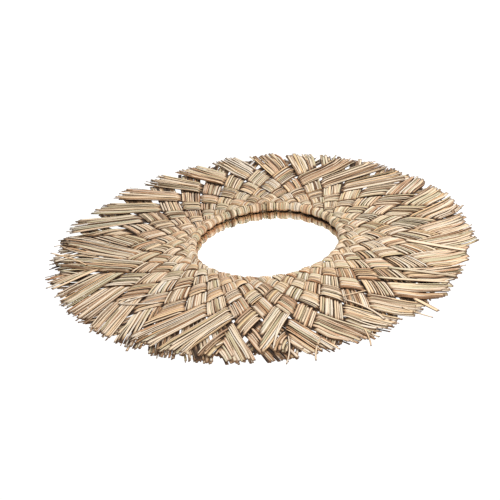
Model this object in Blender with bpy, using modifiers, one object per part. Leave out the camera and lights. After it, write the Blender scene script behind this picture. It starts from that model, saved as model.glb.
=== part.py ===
"""Round wall mirror in a frame of plaited straw.

The frame is a ring of straw bunches. Each bunch is folded in half over the rim of the
mirror opening, so that it has two legs: one leans clockwise and one anticlockwise on its
way outwards. The legs pass over and under each other in rings of crossings, and then run
on straight as a fringe, the anticlockwise legs in front. Outside the glass the ring lies
back towards the wall. Behind it lie the mirror glass and a backing board, whose back is
the face that meets the wall.

The mirror is modelled as it hangs: it faces -Y, +Z is up, and the origin is the middle of
the board's back. Angles are measured from +X towards +Z, about the mirror's middle.
"""

import math

import bmesh
import bpy

# The plait, in metres. RIM_STEP is the growth of the rings of crossings at the rim, as a
# share of their mean growth. FILL is the share of its pitch that a leg is wide.
BUNCH_COUNT = 34
OPENING_RADIUS = 0.103
PLAIT_WIDTH = 0.146
RIM_STEP = 0.6
RIM_THICKNESS = 0.0065
EDGE_THICKNESS = 0.0028
BUNCH_GAP = 0.0008
CROSSINGS = 6
STATIONS_PER_CROSSING = 2
FILL_IN_PLAIT = 0.92

# The fringe, in metres, outwards from the plait's edge. SPREAD makes its lengths uneven.
FRONT_FRINGE = 0.051
BACK_FRINGE = 0.038
FRINGE_SPREAD = 0.005
FRINGE_TURN = 2.4
FILL_AT_TIP = 0.78

# How far the fringe's ends lie nearer to the wall than the rim does, in metres
DROOP = 0.0111

# The fold over the rim. EDGE_TUCK is a share of the fold's own reach.
FOLD_STATIONS = 2
EDGE_TUCK = 0.55

# The mirror glass and its backing board, in metres
GLASS_OVERLAP = 0.021
GLASS_THICKNESS = 0.003
GLASS_EDGE = 0.0004
BOARD_OVERLAP = 0.016
BOARD_THICKNESS = 0.004
BOARD_EDGE = 0.0006
SEAT_GAP = 0.0003
DISC_SIDES = 48

# Values worked out from those above
PITCH = 2 * math.pi / BUNCH_COUNT
LIFT = (RIM_THICKNESS + BUNCH_GAP) / 2
FOLD_REACH = LIFT
FOLD_RADIUS = OPENING_RADIUS + FOLD_REACH + RIM_THICKNESS / 2
PLAIT_RADIUS = OPENING_RADIUS + PLAIT_WIDTH
RING_STEP = math.log(PLAIT_RADIUS / FOLD_RADIUS) / CROSSINGS
EDGE_STEP = RING_STEP * (2.0 - RIM_STEP)
LEAN = math.atan(PITCH / 2 / EDGE_STEP)
GLASS_RADIUS = OPENING_RADIUS + GLASS_OVERLAP
BOARD_RADIUS = GLASS_RADIUS + BOARD_OVERLAP
GLASS_BACK = BOARD_THICKNESS + SEAT_GAP
GLASS_FRONT = GLASS_BACK + GLASS_THICKNESS
PLAIT_DEPTH = GLASS_FRONT + SEAT_GAP + LIFT + RIM_THICKNESS / 2
DROOP_START = GLASS_RADIUS
DROOP_END = PLAIT_RADIUS + FRONT_FRINGE

COLLECTION_NAME = "straw_framed_mirror"


def clear_scene():
    """Removes whatever the scene holds."""
    for obj in list(bpy.data.objects):
        bpy.data.objects.remove(obj, do_unlink=True)


def new_collection(name):
    """Makes a collection under the scene's own."""
    collection = bpy.data.collections.new(name)
    bpy.context.scene.collection.children.link(collection)
    return collection


def new_material(name, color, roughness, metallic=0.0):
    """Makes a plain Principled material."""
    material = bpy.data.materials.new(name)
    material.use_nodes = True
    shader = material.node_tree.nodes["Principled BSDF"]
    shader.inputs["Base Color"].default_value = (*color, 1.0)
    shader.inputs["Roughness"].default_value = roughness
    shader.inputs["Metallic"].default_value = metallic
    return material


def polar(radius, angle, height):
    """A point at a radius and angle about the mirror's middle, height in front of the wall."""
    return (radius * math.cos(angle), -height, radius * math.sin(angle))


def ring_radius(crossing):
    """The radius of a ring of crossings. Each ring grows by a larger share than the one before."""
    return FOLD_RADIUS * math.exp(
        RING_STEP * (RIM_STEP * crossing + (1.0 - RIM_STEP) * crossing**2 / CROSSINGS)
    )


def thickness_at(crossing):
    """How thick a bunch is. It flattens evenly from the rim outwards, as it spreads."""
    return RIM_THICKNESS * (EDGE_THICKNESS / RIM_THICKNESS) ** (crossing / CROSSINGS)


def lift_at(crossing):
    """How far a front leg's middle is lifted: it swings with each crossing until the last."""
    lift = (thickness_at(crossing) + BUNCH_GAP) / 2
    return lift * math.cos(math.pi * min(crossing, CROSSINGS))


def plait_depth(radius):
    """How far the plait's middle surface is in front of the wall."""
    share = (radius - DROOP_START) / (DROOP_END - DROOP_START)
    return PLAIT_DEPTH - DROOP * max(0.0, share)


def plait_section(index, crossing, turn):
    """The four corners of a leg where it crosses, from its clockwise edge round.

    turn is -1 for a leg that leans clockwise and starts behind, +1 for the other kind.
    Every corner gets its height from how far it is across the legs that it passes, so
    two legs keep their gap over the whole crossing. At the fold the section lies along
    the rim, and within two thirds of a crossing it has turned along the other legs.
    """
    squareness = max(0.0, 1.0 - 1.5 * crossing)
    thickness = thickness_at(crossing)
    corners = []
    for side, half_thickness in (
        (-0.5, 0.0),
        (0.0, -turn * thickness / 2),
        (0.5, 0.0),
        (0.0, turn * thickness / 2),
    ):
        own = side * FILL_IN_PLAIT
        passed = crossing + turn * own * squareness
        ring = passed - turn * own
        angle = PITCH * (index + own + turn * ring / 2)
        radius = ring_radius(ring)
        height = plait_depth(radius) + turn * lift_at(passed) + half_thickness
        corners.append(polar(radius, angle, height))
    return corners


def tip_radius(index, turn):
    """The radius of a leg's cut end."""
    fringe = FRONT_FRINGE if turn > 0 else BACK_FRINGE
    return PLAIT_RADIUS + fringe + FRINGE_SPREAD * math.sin(FRINGE_TURN * index)


def tip_section(index, turn):
    """The four corners of a leg's square-cut end, at the end of its straight run.

    The straight run keeps the plait's heading, so the lean from the radius falls as
    the radius grows: the sine of the lean times the radius stays the same.
    """
    start = PITCH * (index + turn * CROSSINGS / 2)
    radius = tip_radius(index, turn)
    tip_lean = math.asin(PLAIT_RADIUS / radius * math.sin(LEAN))
    angle = start + turn * (LEAN - tip_lean)
    heading = start + turn * LEAN
    half_width = FILL_AT_TIP * PITCH * radius * math.cos(tip_lean) / 2
    height = plait_depth(radius) + turn * lift_at(CROSSINGS)
    across = (-math.sin(heading), math.cos(heading))
    middle = (radius * math.cos(angle), radius * math.sin(angle))
    corners = []
    for side, rise in (
        (-1, 0.0),
        (0, -turn * EDGE_THICKNESS / 2),
        (1, 0.0),
        (0, turn * EDGE_THICKNESS / 2),
    ):
        x = middle[0] + side * half_width * across[0]
        z = middle[1] + side * half_width * across[1]
        corners.append((x, -(height + rise), z))
    return corners


def fold_section(index, swing):
    """The four corners of the bunch part way round its fold, swing from -90 to 90 degrees."""
    inwards = math.cos(swing)
    forwards = math.sin(swing)
    edge_lift = LIFT * math.cos(math.pi * FILL_IN_PLAIT / 2)
    corners = []
    for side, reach, lift in (
        (-0.5, EDGE_TUCK * FOLD_REACH, edge_lift),
        (0.0, FOLD_REACH - RIM_THICKNESS / 2, LIFT - RIM_THICKNESS / 2),
        (0.5, EDGE_TUCK * FOLD_REACH, edge_lift),
        (0.0, FOLD_REACH + RIM_THICKNESS / 2, LIFT + RIM_THICKNESS / 2),
    ):
        angle = PITCH * (index + side * FILL_IN_PLAIT)
        radius = FOLD_RADIUS - reach * inwards
        corners.append(polar(radius, angle, PLAIT_DEPTH + lift * forwards))
    return corners


def bunch_sections(index):
    """All sections of one bunch, from its clockwise leg's end, round the fold, to the other."""
    last = CROSSINGS * STATIONS_PER_CROSSING
    crossings = [step / STATIONS_PER_CROSSING for step in range(last + 1)]
    back_leg = [plait_section(index, crossing, -1) for crossing in crossings]
    front_leg = [plait_section(index, crossing, 1) for crossing in crossings]
    swings = [
        math.pi * ((step + 1) / (FOLD_STATIONS + 1) - 0.5) for step in range(FOLD_STATIONS)
    ]
    fold = [fold_section(index, swing) for swing in swings]
    return (
        [tip_section(index, -1)]
        + back_leg[::-1]
        + fold
        + front_leg
        + [tip_section(index, 1)]
    )


def add_bunch(index, material, collection):
    """Lofts one folded bunch of straw through its sections."""
    shell = bmesh.new()
    rings = [[shell.verts.new(point) for point in section] for section in bunch_sections(index)]
    for before, after in zip(rings, rings[1:]):
        for corner in range(4):
            following = (corner + 1) % 4
            shell.faces.new((before[corner], before[following], after[following], after[corner]))
    shell.faces.new(rings[0][::-1])
    shell.faces.new(rings[-1])
    bmesh.ops.recalc_face_normals(shell, faces=shell.faces)
    name = f"straw_bunch_{index + 1:02d}"
    mesh = bpy.data.meshes.new(name)
    shell.to_mesh(mesh)
    shell.free()
    mesh.materials.append(material)
    bunch = bpy.data.objects.new(name, mesh)
    collection.objects.link(bunch)
    return bunch


def add_disc(name, radius, thickness, back, edge, material, collection):
    """Adds an upright round plate, its back face the given distance in front of the wall."""
    bpy.ops.mesh.primitive_cylinder_add(
        vertices=DISC_SIDES,
        radius=radius,
        depth=thickness,
        location=(0.0, -(back + thickness / 2), 0.0),
        rotation=(math.radians(90.0), 0.0, 0.0),
    )
    disc = bpy.context.active_object
    disc.name = name
    disc.data.name = name
    disc.data.materials.append(material)
    bevel = disc.modifiers.new("eased_edge", "BEVEL")
    bevel.width = edge
    bevel.segments = 1
    bevel.limit_method = "ANGLE"
    for other in list(disc.users_collection):
        other.objects.unlink(disc)
    collection.objects.link(disc)
    disc.data.shade_smooth()
    disc.data.set_sharp_from_angle(angle=math.radians(30.0))
    return disc


def main():
    """Builds the mirror."""
    clear_scene()
    parts = new_collection(COLLECTION_NAME)
    straw = new_material("dry_straw", (0.56, 0.44, 0.29), 0.75)
    silvered_glass = new_material("silvered_glass", (0.90, 0.92, 0.92), 0.03, metallic=1.0)
    fibreboard = new_material("fibreboard", (0.36, 0.25, 0.16), 0.85)
    add_disc(
        "backing_board", BOARD_RADIUS, BOARD_THICKNESS, 0.0, BOARD_EDGE, fibreboard, parts
    )
    add_disc(
        "mirror_glass",
        GLASS_RADIUS,
        GLASS_THICKNESS,
        GLASS_BACK,
        GLASS_EDGE,
        silvered_glass,
        parts,
    )
    for index in range(BUNCH_COUNT):
        add_bunch(index, straw, parts)


main()
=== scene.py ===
"""The looks of a round wall mirror in a frame of plaited straw.

The frame is a ring of straw bunches, each folded in half over the rim of the mirror opening.
One leg of a bunch leans clockwise and one anticlockwise, and the anticlockwise legs lie in
front in the fringe, but for a few loose spans. Here every bunch is made straw by straw: flat
blades of dried straw that follow the bunch's own course through the plait, over its fold and
out into the cut fringe.

The mirror is modelled as it hangs: it faces -Y, +Z is up, and the origin is the middle of
the board's back. Angles are measured from +X towards +Z, about the mirror's middle, and a
height is a distance in front of the wall.
"""

import logging
import math
from dataclasses import dataclass, field
from enum import Enum

import bpy
import numpy as np
from mathutils import Matrix, Vector


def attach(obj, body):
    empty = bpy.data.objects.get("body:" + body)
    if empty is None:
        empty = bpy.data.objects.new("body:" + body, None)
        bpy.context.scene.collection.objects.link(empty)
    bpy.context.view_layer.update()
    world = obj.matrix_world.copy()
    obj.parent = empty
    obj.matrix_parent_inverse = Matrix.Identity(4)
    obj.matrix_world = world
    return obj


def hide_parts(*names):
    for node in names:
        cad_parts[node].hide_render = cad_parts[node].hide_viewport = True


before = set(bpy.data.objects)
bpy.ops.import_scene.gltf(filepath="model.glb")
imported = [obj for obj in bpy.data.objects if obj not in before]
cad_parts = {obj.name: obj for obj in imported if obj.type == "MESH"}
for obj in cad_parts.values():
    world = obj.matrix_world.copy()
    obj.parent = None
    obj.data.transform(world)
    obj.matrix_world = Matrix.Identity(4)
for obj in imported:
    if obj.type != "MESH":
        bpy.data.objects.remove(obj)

log = logging.getLogger("straw_framed_mirror")

SEED = 4711

# The direction away from the wall, and what keeps only the two directions along it
FRONT = np.array([0.0, -1.0, 0.0])
ON_WALL = np.array([1.0, 0.0, 1.0])

# The length below which a vector isn't scaled up any more
LEAST_LENGTH = 1e-12

Color = tuple[float, float, float]


class Leg(Enum):
    """The two legs of a folded bunch, by the way each leans on its way outwards."""

    CLOCKWISE = -1.0
    ANTICLOCKWISE = 1.0


def smooth_step(low: float, high: float, value: np.ndarray) -> np.ndarray:
    """Rises from 0 at low to 1 at high as 3t^2 - 2t^3.

    Args:
        low: where the rise starts.
        high: where it ends.
        value: the places to work it out at.

    Returns:
        The share of the rise at every place.
    """
    share = np.clip((value - low) / (high - low), 0.0, 1.0)
    return share * share * (3.0 - 2.0 * share)


def to_world(radius: np.ndarray, angle: np.ndarray, height: np.ndarray) -> np.ndarray:
    """Puts points given by radius, angle and height in front of the wall into the frame.

    Args:
        radius: distances from the mirror's middle.
        angle: angles in radians.
        height: distances in front of the wall.

    Returns:
        The points, with x, y and z along the last axis.
    """
    radius, angle, height = np.broadcast_arrays(radius, angle, height)
    return np.stack([radius * np.cos(angle), -height, radius * np.sin(angle)], axis=-1)


def unit(vectors: np.ndarray) -> np.ndarray:
    """Scales vectors on the last axis to a length of 1."""
    length = np.linalg.norm(vectors, axis=-1, keepdims=True)
    return vectors / np.maximum(length, LEAST_LENGTH)


def apart(angle: np.ndarray, middle: float) -> np.ndarray:
    """How far angles are from a place on the ring, the shorter way round.

    Args:
        angle: angles in radians.
        middle: the place, in degrees.

    Returns:
        The differences in radians, from minus a half turn to a half turn.
    """
    return np.angle(np.exp(1j * (angle - math.radians(middle))))


@dataclass(frozen=True)
class Nodes:
    """A small helper that adds and joins a material's nodes."""

    tree: bpy.types.NodeTree

    def add(self, kind: str, **settings: object) -> bpy.types.Node:
        """Adds a node.

        Args:
            kind: the node's type.
            settings: properties of the node, by name.

        Returns:
            The node.
        """
        node = self.tree.nodes.new(kind)
        for name, value in settings.items():
            setattr(node, name, value)
        return node

    def feed(self, socket: bpy.types.NodeSocket, value: object) -> None:
        """Joins a socket to another one, or sets its value.

        Args:
            socket: the input.
            value: an output to join it to, or a number or colour.
        """
        if isinstance(value, bpy.types.NodeSocket):
            self.tree.links.new(value, socket)
        elif value is not None:
            socket.default_value = value

    def number(self, name: str) -> bpy.types.NodeSocket:
        """Reads a number that the mesh holds at its points.

        Args:
            name: the attribute's name.

        Returns:
            The output with the number.
        """
        return self.add("ShaderNodeAttribute", attribute_name=name).outputs["Fac"]

    def math(self, kind: str, *values: object, clamp: bool = False) -> bpy.types.NodeSocket:
        """Works out a number.

        Args:
            kind: the operation.
            values: its inputs.
            clamp: whether the result stays between 0 and 1.

        Returns:
            The output.
        """
        node = self.add("ShaderNodeMath", operation=kind, use_clamp=clamp)
        for socket, value in zip(node.inputs, values):
            self.feed(socket, value)
        return node.outputs[0]

    def vector(self, x: object, y: object, z: object) -> bpy.types.NodeSocket:
        """Joins three numbers to a vector.

        Args:
            x: first number.
            y: second number.
            z: third number.

        Returns:
            The output.
        """
        node = self.add("ShaderNodeCombineXYZ")
        for socket, value in zip(node.inputs, (x, y, z)):
            self.feed(socket, value)
        return node.outputs[0]

    def place(self) -> bpy.types.NodeSocket:
        """Reads the place on the object."""
        return self.add("ShaderNodeTexCoord").outputs["Object"]

    def parts(self, vector: object) -> tuple[bpy.types.NodeSocket, bpy.types.NodeSocket]:
        """Takes a place apart.

        Args:
            vector: the place.

        Returns:
            Its x and its z, the two directions along the wall.
        """
        node = self.add("ShaderNodeSeparateXYZ")
        self.feed(node.inputs[0], vector)
        return node.outputs[0], node.outputs[2]

    def noise(self, place: object, scale: float, detail: float = 2.0) -> bpy.types.NodeSocket:
        """Smooth noise.

        Args:
            place: where to read it.
            scale: how fine it is.
            detail: how many finer layers it has.

        Returns:
            The output, mostly between 0.3 and 0.7.
        """
        node = self.add("ShaderNodeTexNoise")
        self.feed(node.inputs["Vector"], place)
        node.inputs["Scale"].default_value = scale
        node.inputs["Detail"].default_value = detail
        return node.outputs["Fac"]

    def span(
        self,
        value: object,
        low: float,
        high: float,
        first: object = 0.0,
        last: object = 1.0,
        smooth: bool = True,
    ) -> bpy.types.NodeSocket:
        """Maps a range of numbers onto another and clamps it.

        Args:
            value: the input.
            low: the input that gives first.
            high: the input that gives last.
            first: the result at low.
            last: the result at high.
            smooth: whether it eases in and out.

        Returns:
            The output.
        """
        kind = "SMOOTHSTEP" if smooth else "LINEAR"
        node = self.add("ShaderNodeMapRange", interpolation_type=kind)
        for socket, given in zip(node.inputs, (value, low, high, first, last)):
            self.feed(socket, given)
        return node.outputs[0]

    def blend(
        self, share: object, first: object, second: object, kind: str = "MIX"
    ) -> bpy.types.NodeSocket:
        """Mixes two colours.

        Args:
            share: how much of the second.
            first: the colour below.
            second: the colour on top.
            kind: how they are mixed.

        Returns:
            The output.
        """
        node = self.add("ShaderNodeMix", data_type="RGBA", blend_type=kind)
        color_sockets = [socket for socket in node.inputs if socket.type == "RGBA"]
        self.feed(node.inputs[0], share)
        for socket, given in zip(color_sockets, (first, second)):
            self.feed(socket, given)
        return node.outputs[2]

    def ramp(
        self, value: object, stops: tuple[tuple[float, tuple[float, float, float]], ...]
    ) -> bpy.types.NodeSocket:
        """Runs through a row of colours.

        Args:
            value: where to read it, from 0 to 1.
            stops: places and their colours.

        Returns:
            The output.
        """
        node = self.add("ShaderNodeValToRGB")
        elements = node.color_ramp.elements
        while len(elements) < len(stops):
            elements.new(1.0)
        for element, (place, color) in zip(elements, stops):
            element.position = place
            element.color = (*color, 1.0)
        self.feed(node.inputs[0], value)
        return node.outputs[0]

    def relief(self, height: object, strength: float, depth: float) -> bpy.types.NodeSocket:
        """Turns a height into a bump.

        Args:
            height: the input, from 0 to 1.
            strength: how much of the bump is used.
            depth: how far 1 stands up, in metres.

        Returns:
            The output with the normal.
        """
        node = self.add("ShaderNodeBump")
        node.inputs["Strength"].default_value = strength
        node.inputs["Distance"].default_value = depth
        self.feed(node.inputs["Height"], height)
        return node.outputs["Normal"]


def new_material(name: str) -> tuple[bpy.types.Material, Nodes, bpy.types.Node]:
    """Makes a material with one Principled shader.

    Args:
        name: the material's name.

    Returns:
        The material, its node helper and its shader.
    """
    material = bpy.data.materials.new(name)
    material.use_nodes = True
    nodes = Nodes(material.node_tree)
    shader = material.node_tree.nodes["Principled BSDF"]
    return material, nodes, shader


@dataclass(frozen=True)
class StrawFinish:
    """Dried straw: long fibres, pale and dark blades, rusty streaks and brown cut ends.

    A pattern's stretch is how fine its noise is along and across the blade, and how many
    finer layers it has. A range gives the input where a change starts and where it is full.
    Every blade's tint times pattern_apart is its own place in the noise, and what is left
    of its tint times lots after the point is its own lot, which may be warmer or greyer.
    """

    blades: tuple[tuple[float, Color], ...] = (
        (0.00, (0.120, 0.062, 0.030)),
        (0.13, (0.340, 0.215, 0.120)),
        (0.34, (0.690, 0.524, 0.356)),
        (0.66, (0.718, 0.577, 0.420)),
        (1.00, (0.672, 0.579, 0.458)),
    )
    warm: Color = (1.000, 0.820, 0.580)
    grey: Color = (0.880, 0.960, 1.080)
    olive: Color = (0.430, 0.388, 0.235)
    rust: Color = (0.400, 0.185, 0.080)
    # The painted shade's brown and near black, and the darker, warmer painted shade on the rim's
    # underside.
    shade_brown: Color = (0.290, 0.150, 0.066)
    shade_black: Color = (0.030, 0.014, 0.006)
    underside_shade: Color = (0.860, 0.600, 0.430)
    cut_end: Color = (0.125, 0.064, 0.032)
    pattern_apart: float = 37.0
    lots: float = 113.0
    fibre_stretch: tuple[float, float, float] = (14.0, 5.5, 3.0)
    length_stretch: tuple[float, float, float] = (26.0, 0.7, 1.0)
    noise_range: tuple[float, float] = (0.3, 0.7)
    fibre_tone: float = 0.30
    length_tone: float = 0.16
    warm_lots: tuple[float, float] = (0.72, 1.0)
    grey_lots: tuple[float, float] = (0.34, 0.0)
    lot_strength: float = 0.9
    olive_tints: tuple[float, float] = (0.62, 0.95)
    olive_lengths: tuple[float, float] = (0.35, 0.6)
    olive_strength: tuple[float, float] = (0.25, 0.85)
    rust_tints: tuple[float, float] = (0.22, 0.07)
    rust_lengths: tuple[float, float] = (0.72, 0.84)
    rust_from_lengths: float = 0.6
    rust_strength: float = 0.85
    # Painted shade: along the blades' edges and how it grows from the rim outwards, its brown and
    # near-black steps, and its share inside the plait.
    edge_shade_start: float = 0.42
    edge_shade_strength: tuple[float, float] = (0.32, 1.34)
    opening_out: tuple[float, float] = (0.115, 0.245)
    rim_openness: float = 0.36
    shade_brown_range: tuple[float, float] = (0.0, 0.6)
    shade_brown_strength: float = 0.85
    shade_black_range: tuple[float, float] = (0.35, 0.85)
    inner_shade_range: tuple[float, float] = (0.10, 0.68)
    cut_reach: float = 0.0032
    cut_reach_least: float = 0.35
    cut_fading: float = 0.7
    roughness: tuple[float, float] = (0.82, 0.52)
    fibre_strength: float = 0.6
    fibre_depth: float = 0.00025
    shine: float = 0.25

    def make(self) -> bpy.types.Material:
        """Builds the finish from the numbers that each straw's points hold.

        The blade's own colour gets painted shade in a dark line along both edges, partly the
        straws' own darker edges and mostly the shade in the gaps between them. It gets darker,
        warmer painted shade on the rim's underside and painted shade inside the plait, and
        turns brown where it is cut.

        Returns:
            The material.
        """
        material, nodes, shader = new_material("dry_straw_blades")
        across, tone, tint = (nodes.number(name) for name in ("across", "tone", "tint"))
        own = nodes.math("MULTIPLY", tint, self.pattern_apart)
        fibres = self.pattern(nodes, own, across, self.fibre_stretch)
        lengths = self.pattern(nodes, own, across, self.length_stretch)
        color = self.blade_color(nodes, tone, tint, fibres, lengths)
        # Painted shade along both edges of a blade, stronger on some blades and weaker at the rim:
        # partly the straws' own darker edges, mostly the shade in the gaps between straws.
        strength = nodes.span(nodes.math("FRACT", own), 0.0, 1.0, *self.edge_shade_strength, False)
        strength = nodes.math("MULTIPLY", strength, self.gap_shade_strength(nodes))
        side = nodes.math("ABSOLUTE", across)
        edge = nodes.math("MULTIPLY", nodes.span(side, self.edge_shade_start, 1.0), strength)
        color = self.with_painted_shade(nodes, color, edge)
        # Darker, warmer painted shade on the rim's underside, as it shows in the glass.
        color = nodes.blend(nodes.number("tan"), color, (*self.underside_shade, 1.0), "MULTIPLY")
        # Painted shade inside the plait, where legs pass under others, and at the seam under the
        # rim.
        inner_shade = nodes.span(nodes.number("inner_shade"), *self.inner_shade_range, 0.0, 1.0, False)
        color = self.with_painted_shade(nodes, color, inner_shade)
        color = nodes.blend(self.browned(nodes, tone), color, (*self.cut_end, 1.0))
        nodes.feed(shader.inputs["Base Color"], color)
        roughness = nodes.span(fibres, *self.noise_range, *self.roughness, False)
        nodes.feed(shader.inputs["Roughness"], roughness)
        relief = nodes.relief(fibres, self.fibre_strength, self.fibre_depth)
        nodes.feed(shader.inputs["Normal"], relief)
        shader.inputs["Specular IOR Level"].default_value = self.shine
        return material

    def pattern(
        self,
        nodes: Nodes,
        own: bpy.types.NodeSocket,
        across: bpy.types.NodeSocket,
        stretch: tuple[float, float, float],
    ) -> bpy.types.NodeSocket:
        """Noise that is stretched along the blade.

        Args:
            nodes: the material's nodes.
            own: the blade's own place in the noise.
            across: the place across the blade, from -1 to 1.
            stretch: how fine the noise is along and across, and its finer layers.

        Returns:
            The noise.
        """
        finer_along, finer_across, detail = stretch
        x = nodes.math("MULTIPLY", nodes.number("along"), finer_along)
        y = nodes.math("MULTIPLY", across, finer_across)
        return nodes.noise(nodes.vector(x, y, own), 1.0, detail)

    def blade_color(
        self,
        nodes: Nodes,
        tone: bpy.types.NodeSocket,
        tint: bpy.types.NodeSocket,
        fibres: bpy.types.NodeSocket,
        lengths: bpy.types.NodeSocket,
    ) -> bpy.types.NodeSocket:
        """The colour of a clean blade.

        It is a random place in a row of straw colours, which the fibres and the slower
        lengths shift. A share of the blades is warmer or greyer, and others have olive or
        rusty lengths.

        Args:
            nodes: the material's nodes.
            tone: how pale the blade is.
            tint: the blade's own number, from 0 to 1.
            fibres: the fibres' noise.
            lengths: the lengths' noise.

        Returns:
            The colour.
        """
        by_fibre = (-self.fibre_tone, self.fibre_tone)
        by_length = (-self.length_tone, self.length_tone)
        place = nodes.math(
            "ADD",
            nodes.math("ADD", tone, nodes.span(fibres, *self.noise_range, *by_fibre, False)),
            nodes.span(lengths, *self.noise_range, *by_length, False),
            clamp=True,
        )
        color = nodes.ramp(place, self.blades)
        lot = nodes.math("FRACT", nodes.math("MULTIPLY", tint, self.lots))
        for lots, shade in ((self.warm_lots, self.warm), (self.grey_lots, self.grey)):
            share = nodes.span(lot, *lots, 0.0, self.lot_strength, False)
            color = nodes.blend(share, color, (*shade, 1.0), "MULTIPLY")
        greenness = nodes.math(
            "MULTIPLY",
            nodes.span(tint, *self.olive_tints),
            nodes.span(lengths, *self.olive_lengths, *self.olive_strength),
        )
        color = nodes.blend(greenness, color, (*self.olive, 1.0))
        streaks = nodes.math("ADD", fibres, nodes.math("MULTIPLY", lengths, self.rust_from_lengths))
        rustiness = nodes.math(
            "MULTIPLY",
            nodes.span(tint, *self.rust_tints),
            nodes.span(streaks, *self.rust_lengths, 0.0, self.rust_strength),
        )
        return nodes.blend(rustiness, color, (*self.rust, 1.0))

    def browned(self, nodes: Nodes, tone: bpy.types.NodeSocket) -> bpy.types.NodeSocket:
        """How brown the blade is near its cut ends: full at the cut, further in on pale ones.

        Args:
            nodes: the material's nodes.
            tone: how pale the blade is.

        Returns:
            The share.
        """
        reach = nodes.math("ADD", tone, self.cut_reach_least)
        reach = nodes.math("MULTIPLY", reach, self.cut_reach)
        share = nodes.math("DIVIDE", nodes.number("cut"), reach)
        share = nodes.math("SUBTRACT", 1.0, share, clamp=True)
        return nodes.math("POWER", share, self.cut_fading)

    def gap_shade_strength(self, nodes: Nodes) -> bpy.types.NodeSocket:
        """Painted shade between straws: weak at the rim, where they lie pressed tight, full where
        they lie loose from mid plait outwards.

        Args:
            nodes: the material's nodes.

        Returns:
            The strength of the painted shade lines between straws, by the distance from the middle.
        """
        squares = [nodes.math("MULTIPLY", part, part) for part in nodes.parts(nodes.place())]
        radius = nodes.math("SQRT", nodes.math("ADD", *squares))
        return nodes.span(radius, *self.opening_out, self.rim_openness, 1.0)

    def with_painted_shade(
        self, nodes: Nodes, color: bpy.types.NodeSocket, share: bpy.types.NodeSocket
    ) -> bpy.types.NodeSocket:
        """Paints shade into a colour: through a brown shade to near black.

        Args:
            nodes: the material's nodes.
            color: the clean colour.
            share: how dark it gets, from 0 to 1.

        Returns:
            The colour with its painted shade.
        """
        shade_brown = nodes.span(share, *self.shade_brown_range, 0.0, self.shade_brown_strength)
        color = nodes.blend(shade_brown, color, (*self.shade_brown, 1.0))
        return nodes.blend(nodes.span(share, *self.shade_black_range), color, (*self.shade_black, 1.0))


@dataclass(frozen=True)
class SilverFinish:
    """Silvered glass, clean but for the faintest haze."""

    color: Color = (0.955, 0.965, 0.965)
    haze_color: Color = (0.925, 0.940, 0.945)
    roughness: tuple[float, float] = (0.012, 0.03)
    haze_scale: float = 9.0
    haze_detail: float = 4.0
    haze_seen: tuple[float, float] = (0.4, 0.7)
    haze_felt: tuple[float, float] = (0.35, 0.7)

    def make(self) -> bpy.types.Material:
        """Builds the finish: a mirror whose haze is slow noise on Object coordinates.

        Returns:
            The material.
        """
        material, nodes, shader = new_material("silvered_mirror")
        haze = nodes.noise(nodes.place(), self.haze_scale, self.haze_detail)
        seen = nodes.span(haze, *self.haze_seen)
        color = nodes.blend(seen, (*self.color, 1.0), (*self.haze_color, 1.0))
        nodes.feed(shader.inputs["Base Color"], color)
        roughness = nodes.span(haze, *self.haze_felt, *self.roughness)
        nodes.feed(shader.inputs["Roughness"], roughness)
        shader.inputs["Metallic"].default_value = 1.0
        return material


@dataclass(frozen=True)
class HardboardFinish:
    """Raw hardboard: pressed brown fibres with darker flecks, its back printed by a mesh."""

    dark: Color = (0.150, 0.082, 0.042)
    light: Color = (0.290, 0.175, 0.098)
    fleck: Color = (0.090, 0.048, 0.026)
    fibre_noise: tuple[float, float] = (260.0, 5.0)
    patch_noise: tuple[float, float] = (14.0, 3.0)
    fleck_noise: tuple[float, float] = (900.0, 2.0)
    lightened: tuple[float, float] = (0.75, 1.25)
    flecked: tuple[float, float] = (0.60, 0.72)
    fleck_strength: float = 0.6
    noise_range: tuple[float, float] = (0.3, 0.7)
    roughness: tuple[float, float] = (0.72, 0.92)
    mesh_pitch: float = 0.0016
    fibre_height: float = 1.5
    relief_strength: float = 0.35
    relief_depth: float = 0.00012
    shine: float = 0.3

    def make(self) -> bpy.types.Material:
        """Builds the finish on Object coordinates.

        Two noises give the fibres and their patches, a fine one the flecks. Two sine waves
        across each other, one pitch long, give the print of the wire mesh that the board
        was pressed on.

        Returns:
            The material.
        """
        material, nodes, shader = new_material("raw_hardboard")
        place = nodes.place()
        fibres = nodes.noise(place, *self.fibre_noise)
        patches = nodes.noise(place, *self.patch_noise)
        light = nodes.span(nodes.math("ADD", fibres, patches), *self.lightened)
        color = nodes.blend(light, (*self.dark, 1.0), (*self.light, 1.0))
        flecks = nodes.noise(place, *self.fleck_noise)
        flecks = nodes.span(flecks, *self.flecked, 0.0, self.fleck_strength)
        color = nodes.blend(flecks, color, (*self.fleck, 1.0))
        nodes.feed(shader.inputs["Base Color"], color)
        roughness = nodes.span(fibres, *self.noise_range, *self.roughness)
        nodes.feed(shader.inputs["Roughness"], roughness)
        turn = math.tau / self.mesh_pitch
        angles = [nodes.math("MULTIPLY", part, turn) for part in nodes.parts(place)]
        print_height = nodes.math("MULTIPLY", *(nodes.math("SINE", angle) for angle in angles))
        fibre_height = nodes.math("MULTIPLY", fibres, self.fibre_height)
        height = nodes.math("ADD", print_height, fibre_height)
        relief = nodes.relief(height, self.relief_strength, self.relief_depth)
        nodes.feed(shader.inputs["Normal"], relief)
        shader.inputs["Specular IOR Level"].default_value = self.shine
        return material


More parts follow.
